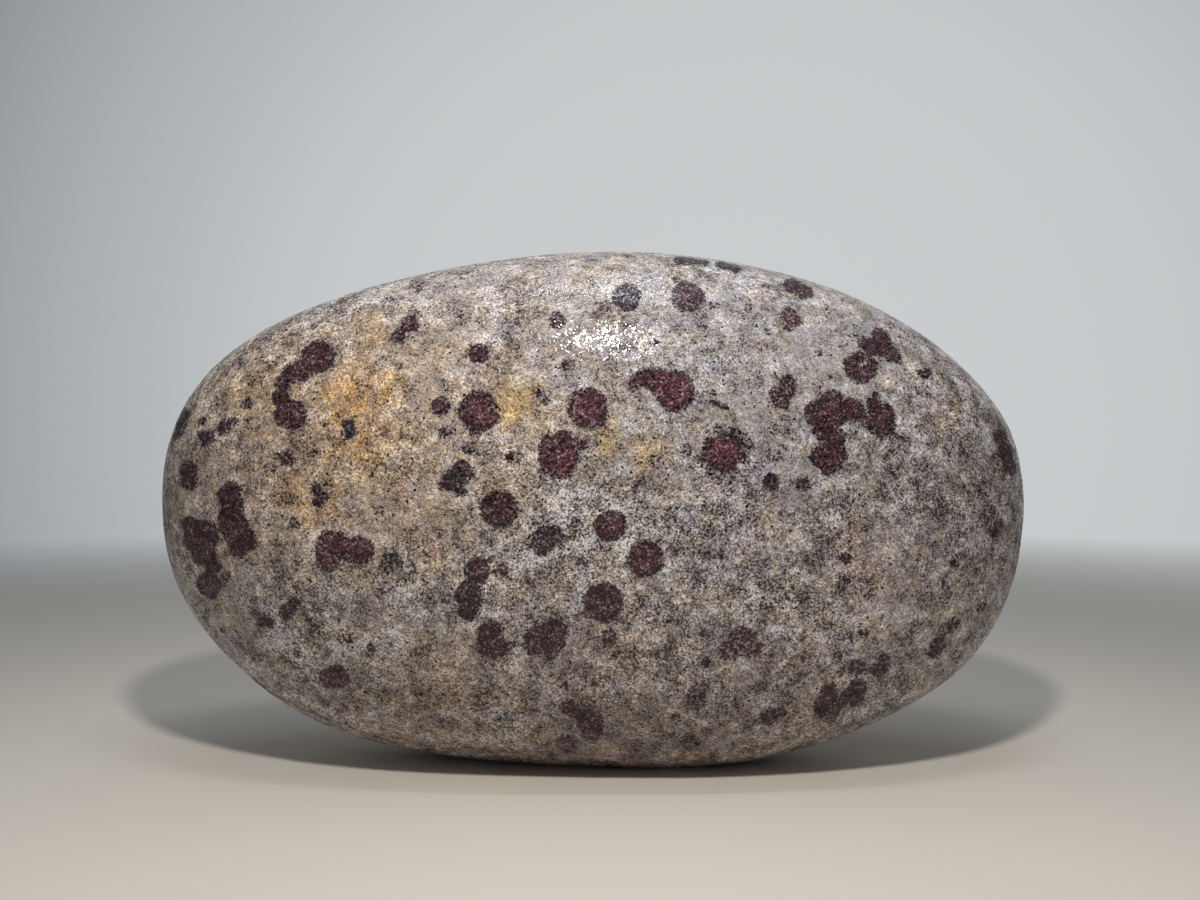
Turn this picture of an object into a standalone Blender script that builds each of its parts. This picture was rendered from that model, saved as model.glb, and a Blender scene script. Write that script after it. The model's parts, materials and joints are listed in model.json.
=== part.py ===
"""Plum blossom viewing stone: one oval, water-worn pebble that stands on its long edge on a small flat spot.

Blender 4.5, metres, +Z up. X runs along the stone, the shown face looks towards -Y, and the origin is the
middle of the ground under the stone. The real thing is a single piece of rock, so the model is a single solid.
"""

import math

import bmesh
import bpy
import numpy as np
from mathutils import Vector, noise

MM = 0.001

# Outline of the shown face, as (across, up) in millimetres from the ground under the stone's middle. The points
# steer a smooth closed curve that passes just inside them: 161 mm long, and 96 mm high before the flat spot is
# cut through the points that lie under the ground.
OUTLINE_MM = (
    (81.0, 47.0),
    (79.5, 62.5),
    (67.0, 76.5),
    (49.5, 87.5),
    (25.5, 94.0),
    (0.0, 95.5),
    (-24.5, 92.0),
    (-48.0, 86.5),
    (-68.5, 77.0),
    (-79.5, 62.5),
    (-81.0, 47.0),
    (-79.0, 31.5),
    (-68.0, 17.5),
    (-51.5, 4.5),
    (-26.0, -0.5),
    (0.0, -1.5),
    (26.5, -1.5),
    (50.5, 5.5),
    (70.0, 16.5),
    (78.5, 31.5),
)
CURVE_STEPS = 12
MIDDLE_HEIGHT = 47 * MM
HALF_LENGTH = 80.5 * MM

# How far each face stands out from the middle plane.
FRONT_DEPTH = 26 * MM
BACK_DEPTH = 28 * MM

# Fullness of each face: 2 gives the dome of an ellipsoid, and more gives a flatter face with tighter shoulders.
FRONT_FULLNESS = 2.5
BACK_FULLNESS = 2.25

# The rounded rim wanders a little to the front and back of the middle plane.
RIM_WANDER = 1.3 * MM

# Broad, shallow unevenness of the two faces, which fades out before the rim.
SWELL_HEIGHT = 1.2 * MM
SWELL_WIDTH = 52 * MM
SWELL_START = Vector((3.1, 7.7, 0.4))

SPHERE_SUBDIVISIONS = 5
HALVINGS = 40
SHARP_EDGE_DEGREES = 30


def clear_scene():
    for obj in list(bpy.data.objects):
        bpy.data.objects.remove(obj)


def polished_rock():
    """Warm grey rock with a waxed surface."""
    material = bpy.data.materials.new("waxed_rock")
    material.use_nodes = True
    shader = material.node_tree.nodes["Principled BSDF"]
    shader.inputs["Base Color"].default_value = (0.27, 0.23, 0.20, 1.0)
    shader.inputs["Roughness"].default_value = 0.35
    shader.inputs["Metallic"].default_value = 0.0
    return material


def outline_reach():
    """A function from an angle in the XZ plane to the outline's distance from the stone's middle.

    The outline is a closed cubic B-spline, so it has no corner and no sudden change of curvature.
    """
    here = np.array(OUTLINE_MM) * MM
    before, after, second = (np.roll(here, shift, axis=0) for shift in (1, -1, -2))
    pieces = []
    for t in np.arange(CURVE_STEPS) / CURVE_STEPS:
        pieces.append(
            (
                (1 - t) ** 3 * before
                + (3 * t**3 - 6 * t**2 + 4) * here
                + (-3 * t**3 + 3 * t**2 + 3 * t + 1) * after
                + t**3 * second
            )
            / 6
        )
    across, up = (np.concatenate(pieces) - (0.0, MIDDLE_HEIGHT)).T
    angles = np.arctan2(up, across)
    reaches = np.hypot(across, up)
    order = np.argsort(angles)
    return lambda angle: float(np.interp(angle, angles[order], reaches[order], period=2 * math.pi))


def swell(point):
    """Broad unevenness of a face at this point, between minus and plus the swell's height."""
    return SWELL_HEIGHT * noise.noise(point / SWELL_WIDTH + SWELL_START)


def surface_point(direction, reach_at):
    """Where a line from the stone's middle in this direction leaves the stone, as seen from the middle.

    Across the stone the line is measured against the outline, and along Y against the face's depth. The line
    leaves the stone where the two shares, each raised to its own power, add up to one.
    """
    across = math.hypot(direction.x, direction.z)
    reach = reach_at(math.atan2(direction.z, direction.x))
    front = direction.y < 0
    depth = FRONT_DEPTH if front else BACK_DEPTH
    fullness = FRONT_FULLNESS if front else BACK_FULLNESS
    inside, outside = 0.0, 2 * HALF_LENGTH
    for _ in range(HALVINGS):
        distance = (inside + outside) / 2
        share = (distance * across / reach) ** fullness + (distance * direction.y / depth) ** 2
        inside, outside = (distance, outside) if share < 1 else (inside, distance)
    point = direction * inside
    faceward = min(1.0, abs(point.y) / depth) ** 2
    point.y += math.copysign(swell(point) * faceward, direction.y)
    point.y += RIM_WANDER * math.sin(2 * math.atan2(point.z, point.x)) * (1 - faceward)
    return point


def pebble():
    """A ball, stretched to the stone's proportions, with each vertex then moved out onto the stone's surface."""
    mesh = bmesh.new()
    bmesh.ops.create_icosphere(mesh, subdivisions=SPHERE_SUBDIVISIONS, radius=1.0)
    proportions = Vector((HALF_LENGTH, (FRONT_DEPTH + BACK_DEPTH) / 2, MIDDLE_HEIGHT))
    reach_at = outline_reach()
    for vertex in mesh.verts:
        direction = (vertex.co * proportions).normalized()
        vertex.co = surface_point(direction, reach_at)
    bmesh.ops.translate(mesh, verts=mesh.verts, vec=(0, 0, MIDDLE_HEIGHT))
    return mesh


def cut_flat_spot(mesh):
    """Takes off what lies under the ground and closes the cut with one flat face."""
    cut = bmesh.ops.bisect_plane(
        mesh,
        geom=mesh.verts[:] + mesh.edges[:] + mesh.faces[:],
        plane_co=(0, 0, 0),
        plane_no=(0, 0, -1),
        clear_outer=True,
    )
    edges = [item for item in cut["geom_cut"] if isinstance(item, bmesh.types.BMEdge)]
    bmesh.ops.contextual_create(mesh, geom=edges)
    bmesh.ops.triangulate(mesh, faces=mesh.faces)
    bmesh.ops.recalc_face_normals(mesh, faces=mesh.faces)


def centre_over_origin(mesh):
    """Puts the middle of the stone's box over the origin."""
    low, high = (
        Vector(limit(vertex.co[axis] for vertex in mesh.verts) for axis in range(3)) for limit in (min, max)
    )
    middle = (low + high) / 2
    bmesh.ops.translate(mesh, verts=mesh.verts, vec=(-middle.x, -middle.y, 0))


def main():
    clear_scene()
    mesh = pebble()
    cut_flat_spot(mesh)
    centre_over_origin(mesh)
    data = bpy.data.meshes.new("viewing_stone")
    mesh.to_mesh(data)
    mesh.free()
    data.shade_smooth()
    data.set_sharp_from_angle(angle=math.radians(SHARP_EDGE_DEGREES))
    data.materials.append(polished_rock())
    stone = bpy.data.objects.new("viewing_stone", data)
    bpy.context.scene.collection.objects.link(stone)


main()
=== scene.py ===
# %% [markdown]
# # A plum blossom stone, waxed and standing on its long edge
#
# A river has rounded this pebble, and wax makes its colours deep. Dark wine-red grains grew in round
# clusters, the "blossoms", in a pale grey-beige rock. The stone is one piece, so the whole lesson is about
# one mesh and one material: a smooth body, markings that are placed one by one, and grain that Blender's
# noise makes.
#
# The imported model comes first. It is the true size and place of the stone, and everything here follows it.

# %% Load the imported stone
import json
import math
import random

import bmesh
import bpy
import numpy as np
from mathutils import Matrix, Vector, noise
from mathutils.bvhtree import BVHTree

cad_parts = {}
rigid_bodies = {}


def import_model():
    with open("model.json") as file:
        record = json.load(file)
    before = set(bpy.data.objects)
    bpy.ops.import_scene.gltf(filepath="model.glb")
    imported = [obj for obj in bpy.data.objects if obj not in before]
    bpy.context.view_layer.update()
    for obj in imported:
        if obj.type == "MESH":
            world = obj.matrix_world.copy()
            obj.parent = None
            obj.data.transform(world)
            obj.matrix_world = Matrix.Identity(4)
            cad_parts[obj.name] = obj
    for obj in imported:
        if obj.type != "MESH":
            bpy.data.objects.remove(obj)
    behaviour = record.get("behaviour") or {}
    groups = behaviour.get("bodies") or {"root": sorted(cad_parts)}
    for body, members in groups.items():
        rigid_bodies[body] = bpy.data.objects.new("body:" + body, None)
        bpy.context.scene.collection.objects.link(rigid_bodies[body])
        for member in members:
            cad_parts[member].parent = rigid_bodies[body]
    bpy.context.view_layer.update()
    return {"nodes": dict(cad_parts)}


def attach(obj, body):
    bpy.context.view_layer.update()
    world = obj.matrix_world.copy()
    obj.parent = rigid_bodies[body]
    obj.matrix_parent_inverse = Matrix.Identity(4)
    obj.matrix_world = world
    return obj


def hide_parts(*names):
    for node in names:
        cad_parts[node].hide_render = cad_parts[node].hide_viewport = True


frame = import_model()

MM = 0.001
cad_stone = frame["nodes"]["viewing_stone"]

# %% [markdown]
# ## The camera
#
# The stone was seen from close by with a wide lens, a little below its middle and looking slightly up. Such
# a near camera shows less of the rim than a far one does. Place, tilt and lens could be judged by eye, but
# here they were fitted to the stone's outline, because every marking is placed through them.

# %% Camera
CAMERA_SPOT = Vector((0.0013, -0.1653, 0.0527))
CAMERA_TILT = math.radians(1.6)
LENS_MM = 26.0
SENSOR_MM = 36.0
NEAREST_VISIBLE = 5 * MM

lens = bpy.data.cameras.new("camera")
lens.lens = LENS_MM
lens.sensor_width = SENSOR_MM
lens.clip_start = NEAREST_VISIBLE
camera = bpy.data.objects.new("camera", lens)
camera.location = CAMERA_SPOT
camera.rotation_euler = (math.radians(90) + CAMERA_TILT, 0, 0)
bpy.context.scene.collection.objects.link(camera)
bpy.context.scene.camera = camera
print("camera, mm:", [round(part / MM, 1) for part in camera.location], "lens, mm:", LENS_MM)

# %% [markdown]
# ## The body of the stone
#
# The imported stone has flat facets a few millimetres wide. A pebble has none, so a copy of it is divided
# into fine triangles and smoothed. Smoothing moves each vertex towards the middle of its neighbours, which
# rounds the facets off. The vertices of the flat spot stay where they are, because the stone stands on
# them. A Subdivision Surface modifier would round the stone too, but it would pull in the flat spot.

# %% Fine, smooth body
SAME_PLACE = 0.001 * MM
CUTS_PER_EDGE = 5
SMOOTH_PASSES = 40
SMOOTH_SHARE = 0.5
GROUND_GAP = 0.02 * MM

body = bmesh.new()
body.from_mesh(cad_stone.data)
bmesh.ops.remove_doubles(body, verts=body.verts, dist=SAME_PLACE)
bmesh.ops.subdivide_edges(body, edges=body.edges, cuts=CUTS_PER_EDGE, use_grid_fill=True)
free = [vertex for vertex in body.verts if vertex.co.z > GROUND_GAP]
for _ in range(SMOOTH_PASSES):
    bmesh.ops.smooth_vert(
        body, verts=free, factor=SMOOTH_SHARE, use_axis_x=True, use_axis_y=True, use_axis_z=True
    )
bmesh.ops.recalc_face_normals(body, faces=body.faces)
body.normal_update()
print("fine body:", len(body.verts), "vertices,", len(body.faces), "triangles")

# %% [markdown]
# ## From the picture to the stone
#
# Most markings were read off a picture of the stone as spots with a middle and a radius in pixels. A ray
# from the camera through the spot's pixel meets the stone where that spot really is, and the distance turns
# pixels into millimetres. From there on a spot is a ball in space, drawn out along its ray, because a spot
# that looks round where the stone curves away from the camera is long on the stone itself.

# %% Rays through pixels
PICTURE_WIDTH = 1200
PICTURE_HEIGHT = 900
FOCAL_PX = PICTURE_WIDTH * LENS_MM / SENSOR_MM

surface = BVHTree.FromBMesh(body)
look = Vector((0, math.cos(CAMERA_TILT), math.sin(CAMERA_TILT)))
upward = Vector((0, -math.sin(CAMERA_TILT), math.cos(CAMERA_TILT)))


def spot_on_stone(across_px, down_px, radius_px):
    """A spot behind a pixel: its place on the stone, its radius in metres, and the ray's direction."""
    right = (across_px - PICTURE_WIDTH / 2) / FOCAL_PX
    up = (PICTURE_HEIGHT / 2 - down_px) / FOCAL_PX
    ray = look + right * Vector((1, 0, 0)) + up * upward
    place, _, _, _ = surface.ray_cast(CAMERA_SPOT, ray.normalized())
    if place is None:
        place, _, _, _ = surface.find_nearest(CAMERA_SPOT + ray * (-CAMERA_SPOT.y))
    depth = (place - CAMERA_SPOT).dot(look)
    return place, radius_px * depth / FOCAL_PX, ray.normalized()


_, pixel, _ = spot_on_stone(PICTURE_WIDTH / 2, PICTURE_HEIGHT / 2, 1)
print("one pixel in the middle of the stone, mm:", round(pixel / MM, 3))

# %% [markdown]
# ## The blossoms
#
# A blossom is one round cluster of dark grains, or several that have grown together. Each row below is one
# blossom: its grade, how densely the dark grains lie, and the discs (across, down, radius) that make it up.
# Wine blossoms are reddest, plum ones are darker, and smoke ones are nearly black. A faint one is a
# sprinkle. Blossoms could be painted on an image, but a list of discs needs no unwrapping and stays sharp
# from near.

# %% Grades of blossom
WINE, PLUM, SMOKE = 1.0, 0.65, 0.15
print("redness of wine, plum and smoke:", WINE, PLUM, SMOKE)

# %% Blossoms at the upper left
UPPER_LEFT = [
    (
        PLUM,
        1.0,
        [(318, 357, 16), (302, 370, 11), (292, 373, 9), (283, 382, 7), (281, 398, 9), (290, 415, 15)],
    ),
    (PLUM, 0.9, [(247, 404, 5)]),
    (PLUM, 0.9, [(227, 425, 6), (234, 421, 4), (222, 430, 4)]),
    (SMOKE, 0.9, [(203, 421, 3.5)]),
    (SMOKE, 1.0, [(185, 414, 6), (181, 424, 7), (178, 434, 6)]),
    (SMOKE, 0.8, [(240, 362, 2.5)]),
    (SMOKE, 0.8, [(291, 333, 2)]),
    (SMOKE, 0.8, [(324, 424, 3)]),
    (SMOKE, 0.8, [(371, 373, 2)]),
    (SMOKE, 0.9, [(348, 424, 6), (349, 433, 7)]),
    (SMOKE, 0.4, [(342, 300, 4)]),
    (SMOKE, 0.45, [(417, 286, 8)]),
    (SMOKE, 0.5, [(391, 300, 4)]),
    (PLUM, 0.95, [(411, 324, 9), (399, 335, 7)]),
    (PLUM, 0.95, [(478, 354, 9.5)]),
    (SMOKE, 0.85, [(558, 321, 8)]),
    (PLUM, 0.8, [(566, 365, 6.5)]),
    (SMOKE, 0.4, [(461, 314, 3)]),
    (SMOKE, 0.6, [(459, 352, 2)]),
    (SMOKE, 0.5, [(400, 366, 3)]),
    (PLUM, 0.95, [(439, 407, 9.5)]),
    (SMOKE, 0.7, [(445, 432, 7)]),
    (WINE, 0.95, [(479, 411, 20), (474, 433, 3)]),
    (WINE, 0.95, [(588, 409, 20), (603, 424, 4)]),
    (SMOKE, 0.9, [(541, 393, 4)]),
    (SMOKE, 0.9, [(545, 402, 4)]),
    (SMOKE, 0.6, [(508, 380, 2)]),
    (SMOKE, 0.5, [(572, 345, 3)]),
]
print("blossoms at the upper left:", len(UPPER_LEFT))

# %% Blossoms at the upper right
UPPER_RIGHT = [
    (SMOKE, 1.0, [(627, 297, 14)]),
    (PLUM, 0.9, [(688, 297, 16), (676, 280, 3)]),
    (SMOKE, 0.7, [(712, 305, 3), (718, 305, 3)]),
    (SMOKE, 0.45, [(750, 308, 5)]),
    (SMOKE, 1.0, [(680, 260, 6), (691, 261, 6), (703, 262, 5), (722, 265, 6), (734, 268, 6)]),
    (PLUM, 0.95, [(793, 285, 9), (804, 291, 9)]),
    (PLUM, 0.85, [(789, 315, 8), (794, 321, 7), (787, 327, 4)]),
    (SMOKE, 0.7, [(655, 344, 4)]),
    (SMOKE, 0.6, [(768, 331, 3)]),
    (SMOKE, 0.6, [(729, 360, 2)]),
    (WINE, 1.0, [(675, 391, 20), (661, 382, 12), (650, 379, 10), (640, 379, 7), (632, 387, 4)]),
    (PLUM, 0.9, [(787, 383, 8), (779, 398, 10), (789, 392, 7), (784, 406, 5)]),
    (SMOKE, 0.9, [(713, 393, 3)]),
    (SMOKE, 1.0, [(713, 403, 2.5), (718, 404, 3), (724, 407, 3)]),
    (SMOKE, 0.6, [(759, 380, 2.5)]),
    (PLUM, 1.0, [(880, 335, 8), (883, 346, 9), (893, 355, 8), (873, 343, 6), (872, 350, 6)]),
    (PLUM, 0.95, [(861, 367, 16), (863, 343, 6)]),
    (SMOKE, 0.4, [(854, 336, 4)]),
    (SMOKE, 0.4, [(891, 325, 4)]),
    (SMOKE, 0.9, [(925, 373, 6.5)]),
    (SMOKE, 0.6, [(918, 390, 3)]),
    (SMOKE, 0.4, [(930, 395, 3)]),
    (
        PLUM,
        1.0,
        [
            (832, 401, 11),
            (818, 413, 13),
            (832, 416, 13),
            (852, 410, 12),
            (826, 430, 12),
            (833, 438, 12),
            (823, 455, 12),
            (835, 453, 12),
            (830, 465, 10),
        ],
    ),
    (
        PLUM,
        0.95,
        [(876, 396, 4), (875, 404, 7), (881, 416, 13), (869, 422, 9), (885, 427, 9), (880, 434, 5)],
    ),
    (SMOKE, 0.7, [(771, 413, 2)]),
    (SMOKE, 0.7, [(783, 418, 2.5)]),
    (SMOKE, 0.7, [(790, 431, 2.5)]),
    (SMOKE, 0.7, [(786, 448, 2.5)]),
    (SMOKE, 0.7, [(819, 353, 2.5)]),
    (SMOKE, 0.7, [(919, 427, 2.5)]),
    (SMOKE, 0.7, [(857, 467, 2.5)]),
    (SMOKE, 0.4, [(775, 429, 7)]),
    (PLUM, 0.45, [(779, 458, 5)]),
    (PLUM, 0.45, [(816, 387, 4)]),
    (PLUM, 0.45, [(891, 392, 4)]),
    (SMOKE, 0.8, [(902, 439, 4)]),
]
print("blossoms at the upper right:", len(UPPER_RIGHT))

# %% Blossoms at the middle left
MIDDLE_LEFT = [
    (SMOKE, 0.95, [(206, 438, 7.5)]),
    (PLUM, 0.85, [(287, 458, 8), (277, 456, 3)]),
    (PLUM, 0.95, [(188, 470, 9.5), (188, 482, 8)]),
    (
        PLUM,
        1.0,
        [
            (230, 486, 4),
            (229, 495, 11.5),
            (232, 506, 10),
            (232, 518, 12),
            (235, 528, 14),
            (241, 540, 14),
            (238, 548, 9),
        ],
    ),
    (
        PLUM,
        1.0,
        [
            (190, 525, 9),
            (200, 537, 17.5),
            (204, 554, 12),
            (214, 567, 7.5),
            (209, 584, 12.5),
            (210, 590, 8),
        ],
    ),
    (SMOKE, 0.5, [(226, 578, 4)]),
    (SMOKE, 0.7, [(251, 564, 2.5)]),
    (SMOKE, 0.95, [(317, 490, 6), (322, 496, 6), (317, 502, 5.5)]),
    (PLUM, 0.6, [(295, 524, 5.5)]),
    (SMOKE, 0.5, [(330, 483, 3)]),
    (SMOKE, 0.4, [(327, 472, 2)]),
    (WINE, 0.95, [(332, 547, 16), (329, 559, 12), (358, 550, 14.5)]),
]
print("blossoms at the middle left:", len(MIDDLE_LEFT))

# %% Blossoms in the middle
MIDDLE = [
    (SMOKE, 0.85, [(466, 449, 3), (472, 450, 3), (478, 452, 3)]),
    (SMOKE, 0.6, [(406, 452, 2.5)]),
    (SMOKE, 0.6, [(405, 437, 2)]),
    (SMOKE, 0.6, [(401, 435, 2)]),
    (WINE, 0.85, [(511, 457, 5)]),
    (WINE, 0.95, [(559, 450, 19), (559, 460, 19), (582, 446, 5)]),
    (SMOKE, 0.95, [(461, 469, 9), (455, 478, 11), (445, 484, 6), (461, 491, 5), (470, 474, 5)]),
    (PLUM, 0.95, [(499, 509, 18)]),
    (SMOKE, 0.9, [(544, 538, 13), (556, 535, 8), (541, 548, 8)]),
    (SMOKE, 0.5, [(529, 541, 6)]),
    (SMOKE, 0.6, [(490, 542, 4)]),
    (SMOKE, 0.6, [(510, 536, 3)]),
    (SMOKE, 0.75, [(391, 563, 10)]),
    (PLUM, 0.9, [(477, 571, 12.5)]),
    (PLUM, 0.45, [(503, 570, 8)]),
    (SMOKE, 0.4, [(428, 542, 4)]),
    (SMOKE, 0.4, [(577, 525, 7)]),
    (SMOKE, 0.4, [(380, 509, 6)]),
    (SMOKE, 0.85, [(641, 483, 5), (635, 490, 5)]),
    (WINE, 1.0, [(718, 451, 16), (728, 448, 15), (724, 459, 14)]),
    (SMOKE, 0.7, [(744, 441, 6), (747, 450, 6), (745, 460, 5), (736, 432, 6), (719, 430, 5)]),
    (SMOKE, 0.6, [(701, 448, 4), (701, 460, 5), (709, 470, 6), (724, 475, 6), (737, 471, 5)]),
    (SMOKE, 0.9, [(772, 480, 7.5), (772, 485, 7.5)]),
    (SMOKE, 0.9, [(803, 484, 7.5)]),
    (PLUM, 0.95, [(611, 526, 15.5)]),
    (WINE, 0.95, [(645, 559, 18)]),
    (SMOKE, 0.6, [(656, 523, 3)]),
    (SMOKE, 0.7, [(708, 556, 4)]),
    (SMOKE, 0.4, [(723, 556, 5)]),
    (SMOKE, 0.4, [(728, 485, 10)]),
    (SMOKE, 0.35, [(657, 463, 8)]),
    (SMOKE, 0.35, [(686, 451, 6)]),
    (SMOKE, 0.6, [(730, 529, 3)]),
    (SMOKE, 0.6, [(790, 529, 2.5)]),
    (SMOKE, 0.4, [(817, 553, 6)]),
]
print("blossoms in the middle:", len(MIDDLE))

# %% Blossoms at the right
RIGHT = [
    (PLUM, 1.0, [(1000, 437, 8), (1006, 452, 9), (1010, 467, 8)]),
    (PLUM, 0.7, [(1000, 523, 5), (994, 531, 6)]),
    (SMOKE, 0.85, [(846, 558, 6)]),
    (SMOKE, 0.85, [(847, 581, 4), (842, 585, 4)]),
    (SMOKE, 0.8, [(953, 563, 4.5)]),
    (SMOKE, 0.6, [(975, 571, 3)]),
    (PLUM, 0.6, [(963, 487, 3)]),
    (SMOKE, 0.35, [(985, 490, 8)]),
    (SMOKE, 0.35, [(990, 515, 8)]),
]
print("blossoms at the right:", len(RIGHT))

# %% Blossoms at the lower left
LOWER_LEFT = [
    (SMOKE, 0.85, [(264, 622, 5.5), (269, 622, 5.5)]),
    (SMOKE, 0.85, [(293, 604, 6), (287, 612, 7)]),
    (SMOKE, 0.7, [(321, 610, 3)]),
    (SMOKE, 0.45, [(346, 638, 8)]),
    (SMOKE, 0.7, [(371, 647, 4)]),
    (PLUM, 0.9, [(333, 678, 12), (338, 678, 12)]),
    (SMOKE, 0.4, [(224, 630, 4)]),
    (PLUM, 0.4, [(258, 658, 6)]),
    (SMOKE, 0.4, [(369, 693, 4)]),
    (SMOKE, 0.4, [(372, 657, 3)]),
    (PLUM, 0.5, [(417, 693, 5)]),
]
print("blossoms at the lower left:", len(LOWER_LEFT))

# %% Blossoms in the lower middle
LOWER_MIDDLE = [
    (SMOKE, 0.95, [(469, 594, 13), (469, 608, 11), (470, 616, 5)]),
    (PLUM, 0.95, [(491, 633, 13), (492, 644, 15)]),
    (PLUM, 0.95, [(539, 641, 15), (555, 630, 12), (555, 642, 11), (548, 654, 6)]),
    (SMOKE, 0.4, [(555, 614, 5)]),
    (PLUM, 1.0, [(603, 603, 19.5)]),
    (SMOKE, 0.55, [(609, 637, 8.5)]),
    (SMOKE, 0.5, [(514, 644, 4)]),
    (PLUM, 0.9, [(569, 707, 8), (580, 714, 7), (590, 721, 13), (592, 733, 10)]),
    (PLUM, 0.8, [(567, 745, 10)]),
    (SMOKE, 0.6, [(567, 686, 4)]),
    (SMOKE, 0.7, [(637, 745, 6)]),
    (PLUM, 0.8, [(691, 743, 9)]),
]
print("blossoms in the lower middle:", len(LOWER_MIDDLE))

# %% Blossoms at the lower right
LOWER_RIGHT = [
    (PLUM, 0.75, [(741, 639, 13), (752, 647, 9), (729, 652, 9)]),
    (SMOKE, 0.75, [(705, 663, 6)]),
    (SMOKE, 0.6, [(701, 688, 7), (696, 696, 9), (701, 704, 5)]),
    (PLUM, 0.55, [(739, 704, 6)]),
    (PLUM, 0.85, [(769, 717, 8), (777, 713, 7)]),
    (PLUM, 0.9, [(829, 693, 9), (827, 707, 14)]),
    (SMOKE, 0.4, [(621, 694, 5)]),
    (SMOKE, 0.4, [(676, 718, 5)]),
    (SMOKE, 0.4, [(705, 633, 4)]),
    (SMOKE, 0.4, [(672, 623, 5)]),
    (PLUM, 0.9, [(857, 668, 7.5)]),
    (PLUM, 0.9, [(884, 661, 7), (879, 671, 7)]),
    (PLUM, 0.9, [(857, 689, 9), (852, 696, 11)]),
    (PLUM, 0.8, [(940, 644, 7), (934, 651, 7)]),
    (SMOKE, 0.7, [(955, 622, 5), (947, 629, 6)]),
    (SMOKE, 0.4, [(864, 630, 6)]),
    (SMOKE, 0.6, [(914, 624, 4)]),
    (PLUM, 0.4, [(957, 655, 7)]),
    (SMOKE, 0.4, [(980, 607, 5)]),
    (SMOKE, 0.7, [(869, 596, 4)]),
    (SMOKE, 0.6, [(906, 594, 3)]),
]
print("blossoms at the lower right:", len(LOWER_RIGHT))

# %% Gaps in blossoms, and all spots found on the stone
# Small pale gaps inside blossoms, where the rock shows through.
PALE_GAPS = [
    (342, 562, 3),
    (351, 537, 2.5),
    (862, 364, 3),
    (819, 448, 2.5),
    (741, 466, 4),
    (493, 409, 3.5),
    (556, 441, 3),
]

regions = (UPPER_LEFT, UPPER_RIGHT, MIDDLE_LEFT, MIDDLE, RIGHT, LOWER_LEFT, LOWER_MIDDLE, LOWER_RIGHT)
blossoms = []
for grade, density, discs in [row for region in regions for row in region]:
    blossoms.append((grade, density, [spot_on_stone(*disc) for disc in discs]))
gaps = [spot_on_stone(*disc) for disc in PALE_GAPS]
print("blossoms read by hand:", len(blossoms))

# %% [markdown]
# ## Blossoms that the camera can't see
#
# Blossoms are scattered through the whole rock, so the back, the ends and the underside carry them too.
# Nobody placed those by hand: a seeded random generator picks places that the camera doesn't see and keeps
# them apart, with the same mix of single spots, pairs and short chains as on the shown face.

# %% What the camera doesn't see
SHOWN_FACING = 0.10
SHOWN_LOWEST_PX = 748


def pixel_row(place):
    """How far down the picture a place in space is."""
    seen = place - CAMERA_SPOT
    return PICTURE_HEIGHT / 2 - FOCAL_PX * seen.dot(upward) / seen.dot(look)


def is_shown(place, normal):
    """True where the camera sees the stone well and above the lowest row that was read."""
    facing = normal.dot((CAMERA_SPOT - place).normalized())
    return facing > SHOWN_FACING and pixel_row(place) < SHOWN_LOWEST_PX


hidden = [vertex for vertex in body.verts if not is_shown(vertex.co, vertex.normal)]
print("share of the vertices on hidden sides:", round(len(hidden) / len(body.verts), 2))

# %% Blossoms on the hidden sides
SEED = 1957
BLOSSOM_TRIES = 300
SMALLEST_MM = 0.35
LARGEST_MM = 3.6
SIZE_POWER = 1.9  # above 1, small blossoms are more common than large ones
WIDEST_GAP_MM = 3.5
CHAIN_LENGTHS = (0, 0, 0, 1, 1, 2, 4)
CHAIN_STEP = 1.1
CHAIN_SHRINK = (0.6, 1.0)
LARGE_MM = 1.2
LARGE_GRADES = (WINE, PLUM, PLUM, PLUM, SMOKE)
LARGE_DENSITIES = (1.0, 0.95, 0.9, 0.45)
SMALL_GRADES = (PLUM, SMOKE, SMOKE)
SMALL_DENSITIES = (0.8, 0.6, 0.4)

dice = random.Random(SEED)


def chain_of_discs(start, size):
    """A disc, and in many cases more of them, each grown from the edge of the one before."""
    discs = [(start, size, None)]
    for _ in range(dice.choice(CHAIN_LENGTHS)):
        place, radius, _ = discs[-1]
        step = Vector([dice.uniform(-1, 1) for _ in range(3)]).normalized() * radius * CHAIN_STEP
        discs.append((surface.find_nearest(place + step)[0], size * dice.uniform(*CHAIN_SHRINK), None))
    return discs


taken = [disc for _, _, discs in blossoms for disc in discs]
for _ in range(BLOSSOM_TRIES):
    start = dice.choice(hidden).co.copy()
    size = (SMALLEST_MM + (LARGEST_MM - SMALLEST_MM) * dice.random() ** SIZE_POWER) * MM
    gap = WIDEST_GAP_MM * MM * dice.random()
    if any((start - place).length < size + radius + gap for place, radius, _ in taken):
        continue
    discs = chain_of_discs(start, size)
    taken += discs
    is_large = size > LARGE_MM * MM
    grade = dice.choice(LARGE_GRADES if is_large else SMALL_GRADES)
    density = dice.choice(LARGE_DENSITIES if is_large else SMALL_DENSITIES)
    blossoms.append((grade, density, discs))
print("blossoms in all:", len(blossoms))

# %% [markdown]
# ## Stains, pale patches and painted light and shade
#
# Iron has stained the rock ochre and rust, feldspar makes cream patches, and fine dark grains make dusky
# ones. Some broad patches are painted light and shade too. Dusky ones along the bottom, where the stone
# meets the ground, and at the right end are painted shade. Others lighten or darken the rock where more or
# less light falls on it. A spot only tints the rock, so it is kept as a colour that multiplies the rock's
# own. It fades softly outwards. One brown noise could stand for them all, but placed spots give this stone
# its own pattern.

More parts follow.
